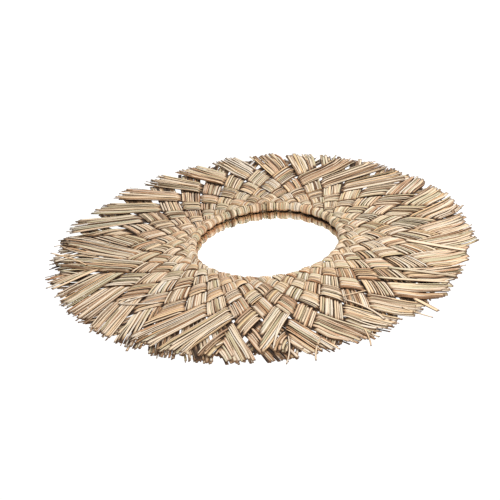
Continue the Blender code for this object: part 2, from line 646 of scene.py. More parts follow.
@dataclass(frozen=True)
class FloorFinish:
    """A plain pale studio floor that stays white under the studio's light."""

    color: Color = (0.93, 0.93, 0.93)
    mottle_color: Color = (0.90, 0.90, 0.90)
    mottle_scale: float = 2.0
    noise_range: tuple[float, float] = (0.3, 0.7)
    roughness: float = 0.9
    glow: float = 0.45

    def make(self) -> bpy.types.Material:
        """Builds the finish.

        Returns:
            The material.
        """
        material, nodes, shader = new_material("pale_floor")
        mottle = nodes.span(nodes.noise(nodes.place(), self.mottle_scale), *self.noise_range)
        color = nodes.blend(mottle, (*self.color, 1.0), (*self.mottle_color, 1.0))
        nodes.feed(shader.inputs["Base Color"], color)
        shader.inputs["Roughness"].default_value = self.roughness
        shader.inputs["Emission Color"].default_value = (1.0, 1.0, 1.0, 1.0)
        shader.inputs["Emission Strength"].default_value = self.glow
        return material


@dataclass(frozen=True)
class Swell:
    """Something that grows towards one place on the ring and falls off on both sides of it."""

    middle: float
    spread: float
    amount: float

    def at(self, angle: np.ndarray) -> np.ndarray:
        """Its size at an angle: a bell curve of the distance from its middle.

        Args:
            angle: angles in radians.

        Returns:
            The size at every angle.
        """
        away = apart(angle, self.middle) / math.radians(self.spread)
        return self.amount * np.exp(-(away**2))


def swelled(base: float, swells: tuple[Swell, ...], angle: np.ndarray) -> np.ndarray:
    """A size that is the same round the ring but for its swells.

    Args:
        base: the size away from all swells.
        swells: where it is larger or smaller.
        angle: angles in radians.

    Returns:
        The size at every angle.
    """
    return base + sum(swell.at(angle) for swell in swells)


@dataclass(frozen=True)
class LooseSpan:
    """A span of the ring, in degrees, where the outermost crossing was left undone."""

    middle: float
    half_width: float
    edge: float = 2.5

    def share(self, angle: np.ndarray) -> np.ndarray:
        """How far an angle is inside the span: 1 inside, 0 outside, eased at both ends.

        Args:
            angle: angles in radians.

        Returns:
            The share at every angle.
        """
        away = np.abs(np.degrees(apart(angle, self.middle)))
        return 1.0 - smooth_step(self.half_width - self.edge, self.half_width + self.edge, away)


@dataclass(frozen=True)
class Plait:
    """The plait's own sizes, in metres, and the surfaces that its bunches follow.

    Squareness and softness say how suddenly legs change sides, softer at the rim. Rings and
    crossings are counted from the rim outwards.
    """

    bunches: int = 34
    opening_radius: float = 0.103
    width: float = 0.146
    rim_step: float = 0.6
    rim_thickness: float = 0.0065
    edge_thickness: float = 0.0028
    gap: float = 0.0008
    crossings: int = 6
    fill: float = 0.97
    edge_tuck: float = 0.86
    wall_to_rim: float = 0.0145
    droop: float = 0.0111
    droop_start: float = 0.124
    droop_end: float = 0.300
    squareness: float = 0.14
    rim_softness: float = 1.4
    rim_evenness: float = 0.85
    even_rings: float = 0.55
    turn_rate: float = 1.5
    rim_edge: float = 0.004
    edge_swells: tuple[Swell, ...] = (
        Swell(203.0, 24.0, 0.050),
        Swell(256.0, 25.0, 0.055),
        Swell(308.0, 24.0, -0.050),
    )
    edge_fill: float = 0.88
    edge_fills: tuple[Swell, ...] = (
        Swell(307.0, 30.0, -0.06),
        Swell(165.0, 24.0, 0.12),
        Swell(22.0, 20.0, 0.10),
    )
    # Where the painted shade at the seam under the rim starts, in rim thicknesses below the roll's
    # middle, and where it starts nearer the middle.
    rim_shadow: float = 0.72
    rim_shadows: tuple[Swell, ...] = (Swell(217.0, 32.0, -0.42),)
    narrowed_from: float = 3.0
    narrowed_to: float = 5.5
    loose_from: float = 5.0
    loose_over: float = 0.5
    loose_spans: tuple[LooseSpan, ...] = (
        LooseSpan(351.5, 11.5),
        LooseSpan(231.5, 15.5),
        LooseSpan(88.5, 4.0),
        LooseSpan(59.0, 14.0),
    )

    @property
    def pitch(self) -> float:
        """The angle from one bunch to the next."""
        return math.tau / self.bunches

    @property
    def rim_lift(self) -> float:
        """How far a leg's middle is lifted out of the plait's middle surface at the rim."""
        return (self.rim_thickness + self.gap) / 2

    @property
    def fold_radius(self) -> float:
        """The radius at which the legs turn into the fold."""
        return self.opening_radius + self.rim_lift + self.rim_thickness / 2

    @property
    def outer_radius(self) -> float:
        """The radius where the plait ends and the fringe starts."""
        return self.opening_radius + self.width

    @property
    def ring_step(self) -> float:
        """The mean growth of the radius from one ring of crossings to the next, as a logarithm."""
        return math.log(self.outer_radius / self.fold_radius) / self.crossings

    @property
    def lean(self) -> float:
        """The angle between a leg and the radius at the plait's edge."""
        return math.atan(self.pitch / 2 / (self.ring_step * (2.0 - self.rim_step)))

    def ring_radius(self, ring: np.ndarray, angle: np.ndarray) -> np.ndarray:
        """The radius of a ring of crossings.

        Its logarithm grows with the ring's number and with its square, so that every ring
        is wider than the one inside it. Towards the edge the plait swells and shrinks
        round the ring, with the cube of the ring's number.

        Args:
            ring: the ring's number, 0 at the rim.
            angle: where round the ring.

        Returns:
            The radius.
        """
        grown = self.rim_step * ring + (1.0 - self.rim_step) * ring**2 / self.crossings
        swell = swelled(0.0, self.edge_swells, angle) * (ring / self.crossings) ** 3
        return self.fold_radius * np.exp(self.ring_step * grown) * (1.0 + swell)

    def filled(self, crossing: np.ndarray, angle: np.ndarray) -> np.ndarray:
        """The share of its room that a leg takes up: all of it at the rim, less outwards.

        Args:
            crossing: how many crossings along the leg.
            angle: where round the ring.

        Returns:
            The share.
        """
        at_edge = np.clip(swelled(self.edge_fill, self.edge_fills, angle), 0.0, 1.0)
        return 1.0 - (1.0 - at_edge) * smooth_step(self.narrowed_from, self.narrowed_to, crossing)

    def thickness(self, crossing: np.ndarray) -> np.ndarray:
        """How thick a bunch is: it flattens evenly from the rim to the plait's edge."""
        share = np.clip(crossing, 0, self.crossings) / self.crossings
        return self.rim_thickness * (self.edge_thickness / self.rim_thickness) ** share

    def lift(self, crossing: np.ndarray) -> np.ndarray:
        """How far the upper leg of a crossing is lifted out of the middle surface."""
        return (self.thickness(crossing) + self.gap) / 2

    def depth(self, radius: np.ndarray) -> np.ndarray:
        """How far the plait's middle surface is in front of the wall."""
        share = (radius - self.droop_start) / (self.droop_end - self.droop_start)
        return self.wall_to_rim - self.droop * np.clip(share, 0.0, 1.0)

    def over(self, crossing: np.ndarray, ring: np.ndarray, angle: np.ndarray) -> np.ndarray:
        """Which legs lie in front: 1 for the anticlockwise ones, -1 for the clockwise ones.

        It is a cosine wave of the crossings, squared off by dividing it by the root of
        its square plus a softness, which is larger at the rim. On the rim itself all
        bunches lie side by side, so there the wave is evened out. In a loose span the
        clockwise legs stay in front from the last crossing but one outwards.

        Args:
            crossing: how many crossings along the leg.
            ring: the number of the ring that the place lies on.
            angle: where round the ring.

        Returns:
            The place between both at every point.
        """
        wave = np.cos(math.pi * np.clip(crossing, None, self.crossings))
        soft = self.squareness + self.rim_softness * np.exp(-np.abs(crossing))
        wave = wave * np.sqrt((1.0 + soft) / (wave**2 + soft))
        evened = self.rim_evenness * np.clip(1.0 - ring / self.even_rings, 0.0, 1.0)
        wave = wave + (1.0 - wave) * evened
        undone = smooth_step(self.loose_from, self.loose_from + self.loose_over, crossing)
        loose = self.looseness(angle) * undone
        return wave * (1.0 - loose) - loose

    def looseness(self, angle: np.ndarray) -> np.ndarray:
        """How far an angle is inside a span whose outermost crossing was left undone."""
        return sum(span.share(angle) for span in self.loose_spans)

    def off_rim(self, radius: np.ndarray) -> np.ndarray:
        """How far a radius is out of the rim's roll: 0 on it, 1 on the plait."""
        return smooth_step(self.fold_radius, self.fold_radius + self.rim_edge, radius)

    def on_leg(
        self, index: int, leg: Leg, own: np.ndarray, crossing: np.ndarray, rise: np.ndarray
    ) -> np.ndarray:
        """Points on a leg inside the plait.

        With s the crossings that a point has passed and t the leg's turn, the point lies
        on ring s - t * own, turned by half a pitch a ring. Its height is the middle
        surface's plus t times the lift where its legs lie in front, minus it where they
        lie behind. Near the fold the sections turn along the rim.

        Args:
            index: the bunch's number.
            leg: which of its legs.
            own: how far across the leg, in pitches from its middle.
            crossing: how many crossings along the leg.
            rise: how far in front of the leg's middle surface.

        Returns:
            The points.
        """
        turn = leg.value
        own = own * self.filled(crossing, self.pitch * (index + turn * crossing / 2))
        turning = np.clip(1.0 - self.turn_rate * crossing, 0.0, None)
        passed = crossing + turn * own * turning
        ring = passed - turn * own
        angle = self.pitch * (index + own + turn * ring / 2)
        radius = self.ring_radius(ring, angle)
        swing = turn * self.lift(passed) * self.over(passed, ring, angle)
        return to_world(radius, angle, self.depth(radius) + swing + rise)

    def on_fold(
        self, index: int, own: np.ndarray, swing: np.ndarray, rise: np.ndarray
    ) -> np.ndarray:
        """Points on the fold over the rim: a half turn from the back of the plait to its front.

        The reach towards the middle is the cosine of the swing, the height its sine. The
        bunch's edges reach a little less far than its middle, by the square of the place
        across it.

        Args:
            index: the bunch's number.
            own: how far across the bunch, in pitches from its middle.
            swing: from -90 degrees at the back to 90 at the front, in radians.
            rise: how far outside the fold's middle surface.

        Returns:
            The points.
        """
        angle = self.pitch * (index + own)
        reach = self.rim_lift * (1.0 - (1.0 - self.edge_tuck) * (2.0 * own) ** 2) + rise
        lifted = self.rim_lift * self.over(own, np.zeros_like(own), angle) + rise
        radius = self.fold_radius - reach * np.cos(swing)
        return to_world(radius, angle, self.wall_to_rim + lifted * np.sin(swing))


@dataclass(frozen=True)
class Fringe:
    """How the fringe's tufts reach, lean and spread round the ring, in metres and degrees.

    The whole fringe is shifted a little to one side of the opening. Where the clockwise
    legs lie loose on top they run nearly straight outwards. Where the fringe is a mess its
    straws cross each other. The circle cut says how nearly the tufts' ends follow the ring.
    A tuft's tip is about one tip turn, in radians, round the ring from where it leaves the
    plait, and its straws have drifted there as in a walk of that many crossings more.
    """

    front_reach: float = 0.051
    front_reaches: tuple[Swell, ...] = (
        Swell(135.0, 32.0, 0.007),
        Swell(104.0, 5.0, 0.004),
        Swell(120.0, 6.0, -0.009),
        Swell(184.0, 14.0, -0.005),
        Swell(278.0, 12.0, -0.004),
        Swell(316.0, 8.0, -0.006),
        Swell(331.0, 7.0, 0.006),
        Swell(50.0, 14.0, -0.005),
    )
    back_reach: float = 0.038
    back_reaches: tuple[Swell, ...] = (
        Swell(59.0, 15.0, 0.004),
        Swell(120.0, 6.0, -0.008),
        Swell(231.5, 16.0, 0.017),
        Swell(351.5, 12.0, 0.011),
    )
    shift: float = 0.0105
    front_lean: float = 23.0
    front_leans: tuple[Swell, ...] = (Swell(160.0, 50.0, 16.0),)
    back_lean: float = 24.0
    loose_lean: float = 12.0
    tip_spread: float = 0.87
    mess: tuple[Swell, ...] = (Swell(352.0, 13.0, 2.2), Swell(118.0, 12.0, 0.8))
    mess_across: float = 0.002
    circle_cut: float = 0.80
    tip_turn: float = 0.07
    tip_walk: float = 1.5
    tip_crown: float = 0.7
    least_height: float = 0.00054

    def lean(self, leg: Leg, angle: float, plait: Plait) -> float:
        """The lean of the straws from the radius at their cut ends.

        Args:
            leg: which leg.
            angle: where round the ring.
            plait: the plait, which has the loose spans.

        Returns:
            The lean in radians.
        """
        if leg is Leg.ANTICLOCKWISE:
            return math.radians(swelled(self.front_lean, self.front_leans, angle))
        eased = (self.loose_lean - self.back_lean) * plait.looseness(angle)
        return math.radians(self.back_lean + eased)

    def reach(self, leg: Leg, angle: float, plait: Plait) -> float:
        """The radius of the cut ends.

        Args:
            leg: which leg.
            angle: where round the ring.
            plait: the plait's sizes.

        Returns:
            The radius.
        """
        start = plait.outer_radius + self.shift * math.cos(angle)
        if leg is Leg.ANTICLOCKWISE:
            return start + swelled(self.front_reach, self.front_reaches, angle)
        return start + swelled(self.back_reach, self.back_reaches, angle)


@dataclass
class Blades:
    """A set of straws: one row a straw, with its own size, colour and place in the bunch."""

    own: np.ndarray
    layer: np.ndarray
    width: np.ndarray
    thick: np.ndarray
    tone: np.ndarray
    tint: np.ndarray
    tilt: np.ndarray
    ride_up: np.ndarray
    phase: np.ndarray
    trim: dict[Leg, np.ndarray]
    fan: dict[Leg, np.ndarray]
    curl: dict[Leg, np.ndarray]


@dataclass
class Strands:
    """Finished straws: middle lines, width directions and the numbers their finish reads."""

    points: np.ndarray
    sideways: np.ndarray
    width: np.ndarray
    thick: np.ndarray
    tone: np.ndarray
    tint: np.ndarray
    # The shares of painted shade inside the frame and on the rim's underside.
    inner_shade: np.ndarray
    tan: np.ndarray
    cut_ends: tuple[bool, bool] = (True, True)


@dataclass(frozen=True)
class Stray:
    """A loose straw on top of the frame, given by the angle and radius of both its ends.

    Angles are in degrees. The bow bends it sideways by a share of its length.
    """

    first: tuple[float, float]
    last: tuple[float, float]
    width: float
    bow: float = 0.0
    lift: float = 0.0012
    first_lift: float = 0.4
    thick: float = 0.0009
    end_width: float = 0.8
    tone: float = 0.6
    tint: float = 0.5
    steps: int = 9

    def strands(self, plait: Plait) -> Strands:
        """Lays the straw on the frame.

        Its course is a quadratic curve between its ends, whose middle point is pushed
        sideways by the bow. It follows the frame's front, a lift above the front legs that
        grows from its first end to its last, and it narrows a little at both ends.

        Args:
            plait: the plait, whose surface it lies on.

        Returns:
            The straw.
        """
        first, last = (
            radius * np.array([math.cos(math.radians(angle)), math.sin(math.radians(angle))])
            for angle, radius in (self.first, self.last)
        )
        run = last - first
        middle = (first + last) / 2 + 2.0 * self.bow * np.array([-run[1], run[0]])
        share = np.linspace(0.0, 1.0, self.steps)[:, None]
        flat = (1 - share) ** 2 * first + 2 * share * (1 - share) * middle + share**2 * last
        radius = np.linalg.norm(flat, axis=-1)
        top = plait.lift(plait.crossings) + plait.edge_thickness / 2
        height = plait.depth(radius) + top + self.lift * (self.first_lift + share[:, 0])
        points = np.stack([flat[:, 0], -height, flat[:, 1]], axis=-1)[None]
        along = unit(np.gradient(points, axis=1))
        narrow = self.end_width * (1.0 + share[:, 0] * (1.0 - share[:, 0]))
        return Strands(
            points=points,
            sideways=unit(np.cross(FRONT, along)),
            width=(self.width * narrow)[None],
            thick=np.full((1, self.steps), self.thick),
            tone=np.array([self.tone]),
            tint=np.array([self.tint]),
            # A loose straw on top gets no painted shade.
            inner_shade=np.zeros((1, self.steps)),
            tan=np.zeros((1, self.steps)),
        )


@dataclass(frozen=True)
class StrawLot:
    """How straws, tufts and bunches differ from each other, in metres, pitches and degrees.

    Values that end in spread are standard deviations, ranges are even from end to end.
    """

    width: float = 0.0035
    width_spread: float = 0.27
    width_range: tuple[float, float] = (0.5, 1.8)
    thickness: float = 0.0009
    thickness_range: tuple[float, float] = (0.8, 1.15)
    edge_margin: float = 0.045
    own_spread: float = 0.018
    tone: float = 0.56
    tone_spread: float = 0.25
    dark_share: float = 0.065
    dark_range: tuple[float, float] = (0.0, 0.15)
    tilt: float = 8.0
    tilt_spread: float = 10.0
    ride_up: float = 0.0006
    fan_spread: float = 0.024
    curl: float = 0.0003
    curl_spread: float = 0.0012
    trim_spread: float = 0.0030
    short_share: float = 0.08
    short_by: float = 0.014
    tuft_turn_spread: float = 2.6
    tuft_trim_spread: float = 0.0028
    bunch_tone_spread: float = 0.07
    rim_push_spread: float = 0.0005
    tint_skew_spread: float = 0.45
    filler_layers: tuple[float, float] = (-0.8, 0.9)


@dataclass
class StrawBunch:
    """One folded bunch of the frame, straw by straw.

    Lengths are in metres, places across the bunch in pitches. A wander is a wave's share
    and its rate, and rates are in radians a crossing. The wave in a straw's width runs
    through its angle from end to end. Crown is the bulge of the bunch between its edges.
    """

    plait: Plait
    fringe: Fringe
    lot: StrawLot
    index: int
    rng: np.random.Generator
    front_straws: int = 12
    back_straws: int = 10
    back_fillers: int = 6
    front_fillers: int = 7
    back_fill_from: float = 4.2
    front_fill_from: float = 5.0
    steps_per_crossing: int = 6
    fringe_steps: int = 7
    fold_steps: int = 7
    wander: float = 0.034
    slow_wander: tuple[float, float] = (0.7, 0.9)
    quick_wander: tuple[float, float] = (0.3, 2.3)
    sway: float = 0.046
    sway_rate: float = 1.1
    sway_from: float = 0.5
    ripple: float = 0.00018
    ripple_rate: float = 1.7
    crown_share: float = 0.88
    crown_half_width: float = 0.54
    crown_least: float = 0.02
    tilt_growth: float = 1.6
    tilt_least: float = 0.7
    rim_slimness: float = 0.62
    width_wave: float = 0.05
    width_wave_angle: float = 81.0
    # Where the painted shade on the rim's underside starts and is full; how far the painted shade
    # inside the plait reaches from its middle, how it opens in the fringe, and its strength at the
    # seam.
    underside_shade: tuple[float, float] = (0.0, 0.6)
    middle_reach: float = 0.95
    fringe_opening: float = 0.3
    seam_shadow: float = 0.95
    tuft_turn: dict[Leg, float] = field(init=False)
    tuft_trim: dict[Leg, float] = field(init=False)
    bunch_tone: float = field(init=False)
    sway_phase: float = field(init=False)
    rim_push: float = field(init=False)

    def __post_init__(self) -> None:
        """Draws what all straws of the bunch share."""
        rng, lot = self.rng, self.lot
        self.tuft_turn = {leg: math.radians(rng.normal(0.0, lot.tuft_turn_spread)) for leg in Leg}
        self.tuft_trim = {leg: rng.normal(0.0, lot.tuft_trim_spread) for leg in Leg}
        self.bunch_tone = rng.normal(0.0, lot.bunch_tone_spread)
        self.sway_phase = rng.uniform(0.0, math.tau)
        self.rim_push = rng.normal(0.0, lot.rim_push_spread)

    def blades(self, count: int, layer: float) -> Blades:
        """Draws the random sizes and places of a layer of straws.

        Args:
            count: how many straws lie side by side.
            layer: 1 for the outside of the fold, -1 for its inside.

        Returns:
            The straws.
        """
        rng, lot = self.rng, self.lot
        half = self.plait.fill / 2 - lot.edge_margin
        own = np.linspace(-half, half, count) + rng.normal(0.0, lot.own_spread, count)
        tone = rng.normal(lot.tone + self.bunch_tone, lot.tone_spread, count)
        dark = rng.random(count) < lot.dark_share
        tone = np.where(dark, rng.uniform(*lot.dark_range, count), tone)
        width_share = np.clip(rng.normal(1.0, lot.width_spread, count), *lot.width_range)
        return Blades(
            own=np.clip(own, -half, half),
            layer=np.full(count, layer),
            width=lot.width * width_share,
            thick=lot.thickness * rng.uniform(*lot.thickness_range, count),
            tone=np.clip(tone, 0.0, 1.0),
            tint=rng.uniform(0.0, 1.0, count),
            tilt=np.radians(rng.normal(lot.tilt, lot.tilt_spread, count)),
            ride_up=rng.uniform(-lot.ride_up, lot.ride_up, count),
            phase=rng.uniform(0.0, math.tau, (count, 3)),
            trim={leg: self.trims(count) for leg in Leg},
            fan={leg: rng.normal(0.0, lot.fan_spread, count) for leg in Leg},
            curl={leg: rng.normal(lot.curl, lot.curl_spread, count) for leg in Leg},
        )

    def trims(self, count: int) -> np.ndarray:
        """How far straws end beyond or short of their tuft's end; a few end well short."""
        trim = self.rng.normal(0.0, self.lot.trim_spread, count)
        return trim - self.lot.short_by * (self.rng.random(count) < self.lot.short_share)

    def crown(self, own: np.ndarray, crossing: np.ndarray) -> np.ndarray:
        """Half the distance between the bunch's two layers of straws: half an ellipse.

        Args:
            own: places across the bunch, in pitches.
            crossing: how many crossings along the leg.

        Returns:
            The distances.
        """
        room = (self.plait.thickness(crossing) - self.lot.thickness) / 2
        bulge = 1.0 - (own / self.crown_half_width) ** 2
        return room * self.crown_share * np.sqrt(np.clip(bulge, self.crown_least, None))

    def drift(self, blades: Blades, walked: np.ndarray) -> np.ndarray:
        """How far straws wander across the bunch, and the bunch across its own course.

        Each straw has two sine waves of its own, a slow one and a quick one, and all share
        a third one that fades in from the rim.

        Args:
            blades: the straws.
            walked: how many crossings along the straw, from the fold.

        Returns:
            The drift in pitches, a row for each straw.
        """
        wander = sum(
            size * np.sin(rate * walked + blades.phase[:, which : which + 1])
            for which, (size, rate) in enumerate((self.slow_wander, self.quick_wander))
        )
        shared = np.sin(self.sway_rate * walked + self.sway_phase)
        faded = np.clip(np.abs(walked) - self.sway_from, 0.0, 1.0)
        return self.wander * wander + self.sway * shared * faded

    def rise(self, blades: Blades, own: np.ndarray, walked: np.ndarray) -> np.ndarray:
        """How far outside the fold's middle surface straws lie, by layer and a slow wave.

        Args:
            blades: the straws.
            own: their places across the bunch.
            walked: how many crossings along the straw, from the fold.

        Returns:
            The distances.
        """
        wave = self.ripple * np.sin(self.ripple_rate * walked + blades.phase[:, 2:3])
        away = self.crown(own, np.abs(walked)) + wave + blades.ride_up[:, None]
        return blades.layer[:, None] * away

    def in_plait(self, blades: Blades, leg: Leg, first: float = 0.0) -> np.ndarray:
        """Middle lines of the straws through the plait, from its rim outwards.

        Args:
            blades: the straws.
            leg: which leg.
            first: the crossing that they start at.

        Returns:
            The points, a row for each straw.
        """
        last = float(self.plait.crossings)
        steps = max(2, round((last - first) * self.steps_per_crossing) + 1)
        crossing = np.linspace(first, last, steps)[None, :]
        walked = leg.value * crossing
        own = blades.own[:, None] + self.drift(blades, walked)
        rise = leg.value * self.rise(blades, own, walked)
        return self.plait.on_leg(self.index, leg, own, crossing, rise)

    def near_tip(self, leg: Leg) -> float:
        """Roughly where round the ring a leg's tuft ends."""
        start = self.plait.pitch * (self.index + leg.value * self.plait.crossings / 2)
        return start + leg.value * self.fringe.tip_turn

    def mess(self, leg: Leg) -> float:
        """How many times messier than a tidy one a leg's tuft is."""
        return 1.0 + swelled(0.0, self.fringe.mess, self.near_tip(leg))

    def tuft_ends(self, blades: Blades, leg: Leg) -> tuple[np.ndarray, np.ndarray, np.ndarray]:
        """Where the straws of a tuft end, seen from the front.

        The tuft's tip lies on the fringe's circle, turned from its start by the mean of
        its two leans. Its straws end side by side across the tuft's heading, each at its
        own trim, and cut along the circle.

        Args:
            blades: the straws.
            leg: which leg.

        Returns:
            The ends, the heading of every straw there, and their places across the tuft.
        """
        plait, fringe, turn = self.plait, self.fringe, leg.value
        start = plait.pitch * (self.index + turn * plait.crossings / 2)
        near_tip, mess = self.near_tip(leg), self.mess(leg)
        reach = fringe.reach(leg, near_tip, plait) + self.tuft_trim[leg]
        tip_lean = fringe.lean(leg, near_tip, plait)
        edge_radius = plait.ring_radius(float(plait.crossings), start)
        advance = math.tan((plait.lean + tip_lean) / 2) * math.log(reach / edge_radius)
        tip_angle = start + turn * advance
        heading = tip_angle + turn * tip_lean + self.tuft_turn[leg] * mess
        fill = fringe.tip_spread * float(plait.filled(np.array(plait.crossings), near_tip))
        half_width = fill * plait.pitch * reach * math.cos(tip_lean) / 2
        walked = np.array([[turn * (plait.crossings + fringe.tip_walk)]])
        own = blades.own + self.drift(blades, walked)[:, 0]
        crossed = fringe.mess_across * (mess - 1.0) * np.sin(blades.phase[:, 0])
        side = own / (plait.fill / 2) * half_width + crossed
        cut = turn * fringe.circle_cut * side * math.tan(tip_lean)
        trim = blades.trim[leg] * mess**0.5 + cut
        ends = np.stack(
            [
                reach * math.cos(tip_angle) - side * math.sin(heading) + trim * math.cos(heading),
                reach * math.sin(tip_angle) + side * math.cos(heading) + trim * math.sin(heading),
            ],
            axis=-1,
        )
        return ends, heading + blades.fan[leg] * mess, own

    def in_fringe(self, blades: Blades, leg: Leg, plaited: np.ndarray) -> np.ndarray:
        """Middle lines of the straws from the plait's edge to their cut ends.

        Seen from the front, each is a cubic curve that leaves the plait along the straw's
        own heading and ends along its heading at the tip. The height follows the plait's
        surface outwards, with the tuft flattening towards its tip.

        Args:
            blades: the straws.
            leg: which leg.
            plaited: their middle lines in the plait, which give start and heading.

        Returns:
            The points after the plait's last one.
        """
        plait, fringe, turn = self.plait, self.fringe, leg.value
        ends, turned, own = self.tuft_ends(blades, leg)
        flat = plaited[..., [0, 2]]
        last, before = flat[:, -1], flat[:, -2]
        length = np.linalg.norm(ends - last, axis=-1, keepdims=True)
        leave = unit(last - before) * length
        arrive = np.stack([np.cos(turned), np.sin(turned)], axis=-1) * length
        share = np.linspace(0.0, 1.0, self.fringe_steps + 1)[1:]
        square, cube = (share**2)[None, :, None], (share**3)[None, :, None]
        curve = (
            (2 * cube - 3 * square + 1) * last[:, None]
            + (cube - 2 * square + share[None, :, None]) * leave[:, None]
            + (3 * square - 2 * cube) * ends[:, None]
            + (cube - square) * arrive[:, None]
        )
        radius = np.linalg.norm(curve, axis=-1)
        angle = np.arctan2(curve[..., 1], curve[..., 0])
        edge = np.array(float(plait.crossings))
        walked = turn * edge.reshape(1, 1)
        first_own = blades.own[:, None] + self.drift(blades, walked)
        at_edge = turn * self.rise(blades, first_own, walked)
        at_tip = turn * blades.layer * self.crown(own, edge) * fringe.tip_crown
        at_tip = at_tip + blades.curl[leg] * self.mess(leg) ** 0.5
        rise = at_edge * (1.0 - share) + at_tip[:, None] * share
        swing = turn * plait.lift(edge) * plait.over(edge, edge, angle)
        height = np.maximum(plait.depth(radius) + swing + rise, fringe.least_height)
        return np.stack([curve[..., 0], -height, curve[..., 1]], axis=-1)

    def over_fold(self, blades: Blades) -> np.ndarray:
        """Middle lines of the straws over the rim, from the back to the front.

        Args:
            blades: the straws.

        Returns:
            The points between the two legs.
        """
        share = np.arange(1, self.fold_steps + 1) / (self.fold_steps + 1)
        swing = (math.pi * (share - 0.5))[None, :]
        walked = np.zeros_like(swing)
        own = blades.own[:, None] + self.drift(blades, walked)
        rise = self.rise(blades, own, walked) + self.rim_push * np.cos(swing)
        return self.plait.on_fold(self.index, own, swing, rise)

    def folded(self, blades: Blades) -> Strands:
        """Straws that run from one cut end over the rim to the other.

        Args:
            blades: their random sizes.

        Returns:
            The straws.
        """
        back, front = (self.in_plait(blades, leg) for leg in Leg)
        points = np.concatenate(
            [
                self.in_fringe(blades, Leg.CLOCKWISE, back)[:, ::-1],
                back[:, ::-1],
                self.over_fold(blades),
                front,
                self.in_fringe(blades, Leg.ANTICLOCKWISE, front),
            ],
            axis=1,
        )
        return self.strands(blades, points, self.outside(points))

    def outside(self, points: np.ndarray) -> np.ndarray:
        """The direction that faces out of the fold: back on one leg, front on the other.

        It turns evenly over the fold and stays square to the wall on the legs.

        Args:
            points: the straws' middle lines.

        Returns:
            A direction at every point.
        """
        total = points.shape[1]
        middle = (total - 1) / 2
        half = (self.fold_steps + 1) / 2
        swing = np.clip((np.arange(total) - middle) / half, -1.0, 1.0) * math.pi / 2
        inwards = -unit(points * ON_WALL)
        return inwards * np.cos(swing)[None, :, None] + FRONT * np.sin(swing)[None, :, None]

    def filler(self, blades: Blades, leg: Leg, first: float) -> Strands:
        """Shorter straws that only fill a tuft, their inner ends hidden under a crossing.

        Args:
            blades: their random sizes.
            leg: which leg they lie on.
            first: the crossing where they start.

        Returns:
            The straws.
        """
        plaited = self.in_plait(blades, leg, first)
        points = np.concatenate([plaited, self.in_fringe(blades, leg, plaited)], axis=1)
        return self.strands(blades, points, FRONT, cut_ends=(False, True))

    def strands(
        self,
        blades: Blades,
        points: np.ndarray,
        outwards: np.ndarray,
        cut_ends: tuple[bool, bool] = (True, True),
    ) -> Strands:
        """Gives the middle lines their widths and their width directions.

        The width direction is square to the line and to the outward direction, turned
        about the line by the straw's tilt and by the slope of the bunch's crown, so that
        straws overlap like tiles and roll over at the bunch's edges.

        Args:
            blades: the straws' random sizes.
            points: their middle lines.
            outwards: the direction that faces out of the bunch, one at every point or for all.
            cut_ends: whether the first and the last ends are cut and brown.

        Returns:
            The finished straws.
        """
        along = unit(np.gradient(points, axis=1))
        sideways = unit(np.cross(outwards, along))
        face = unit(np.cross(along, sideways))
        plait = self.plait
        radius = np.linalg.norm(points * ON_WALL, axis=-1)
        room = plait.rim_thickness / 2 * self.crown_share
        inner = plait.fold_radius / radius
        across = blades.own[:, None] / self.crown_half_width
        slope = -room * inner * across / (plait.pitch * radius * self.crown_half_width)
        grown = np.clip(inner * self.tilt_growth, self.tilt_least, self.tilt_growth)
        tilt = blades.tilt[:, None] * grown + blades.layer[:, None] * slope
        sideways = sideways * np.cos(tilt)[..., None] + face * np.sin(tilt)[..., None]
        spread = smooth_step(plait.opening_radius, plait.outer_radius, radius)
        slim = self.rim_slimness + (1.0 - self.rim_slimness) * spread
        angles = np.linspace(0.0, self.width_wave_angle, points.shape[1])
        wave = 1.0 + self.width_wave * np.sin(angles + blades.phase[:, :1])
        return Strands(
            points=points,
            sideways=sideways,
            width=blades.width[:, None] * slim * wave,
            thick=np.broadcast_to(blades.thick[:, None], radius.shape),
            tone=blades.tone,
            tint=blades.tint,
            # Painted shade inside the frame, and darker, warmer painted shade on the rim's
            # underside.
            inner_shade=self.inner_shade_share(points, radius),
            tan=self.under_rim(points, radius, *self.underside_shade),
            cut_ends=cut_ends,
        )

    def inner_shade_share(self, points: np.ndarray, radius: np.ndarray) -> np.ndarray:
        """The share of painted shade inside the frame: 1 at its middle surface, 0 at both faces.

        It is less at the fringe's ends. Over the rim it is 0 but for the painted shade at the
        seam against the glass.

        Args:
            points: the straws' middle lines.
            radius: their distances from the mirror's middle.

        Returns:
            The share.
        """
        plait = self.plait
        height = -points[..., 1]
        ring = np.log(radius / plait.fold_radius) / plait.ring_step
        away = np.abs(height - plait.depth(radius)) / plait.lift(ring)
        inside = np.clip(1.0 - away / self.middle_reach, 0.0, 1.0)
        outwards = smooth_step(plait.outer_radius, plait.droop_end, radius)
        in_plait = inside * plait.off_rim(radius) * (1.0 - self.fringe_opening * outwards)
        angle = np.arctan2(points[..., 2], points[..., 0])
        start = swelled(plait.rim_shadow, plait.rim_shadows, angle)
        return in_plait + self.seam_shadow * self.under_rim(points, radius, start, 1.0)

    def under_rim(
        self, points: np.ndarray, radius: np.ndarray, low: float | np.ndarray, high: float
    ) -> np.ndarray:
        """How far points lie under the rim's roll.

        Args:
            points: the straws' middle lines.
            radius: their distances from the mirror's middle.
            low: how far below the roll's middle it starts, in rim thicknesses.
            high: where it is full.

        Returns:
            The share: 0 above and on the plait, 1 below.
        """
        plait = self.plait
        below = (plait.wall_to_rim + points[..., 1]) / plait.rim_thickness
        return smooth_step(low, high, below) * (1.0 - plait.off_rim(radius))

